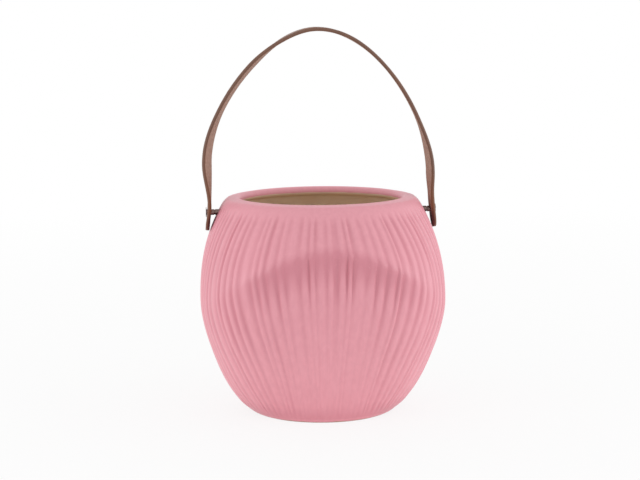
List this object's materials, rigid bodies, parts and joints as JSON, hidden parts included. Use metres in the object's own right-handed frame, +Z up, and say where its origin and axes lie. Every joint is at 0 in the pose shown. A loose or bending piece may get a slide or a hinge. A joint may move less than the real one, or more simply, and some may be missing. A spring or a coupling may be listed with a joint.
{
  "type": "plant pot",
  "caption": "Fluted ceramic plant pot with a round mouth, arched cheeks and a swinging leather carry strap on two metal posts.",
  "frame": {"origin": "centre of the foot, at the level that the pot stands on", "axes": "+Z up through the round mouth, X through the two posts, -Y towards the front face"},
  "size_m": [0.168, 0.184, 0.2643],
  "materials": {
    "pink_glaze": "satin pink glaze outside and over the lip, bare tan clay inside",
    "brown_leather": "brown, smooth outside, taupe suede inside",
    "post_metal": "turned and nickel plated",
    "washer_rubber": "soft, matte"
  },
  "bodies": {
    "pot": {"pot_body": "pink_glaze", "left_binding_post": "post_metal", "left_binding_screw": "post_metal", "left_rubber_washer": "washer_rubber", "right_binding_post": "post_metal", "right_binding_screw": "post_metal", "right_rubber_washer": "washer_rubber"},
    "handle": {"carry_strap": "brown_leather"}
  },
  "joints": [
    {"name": "handle_swing", "type": "hinge", "parent": "pot", "child": "handle", "pos_m": [0, 0, 0.1388], "axis": [1, 0, 0], "range_deg": [-90, 90]}
  ]
}
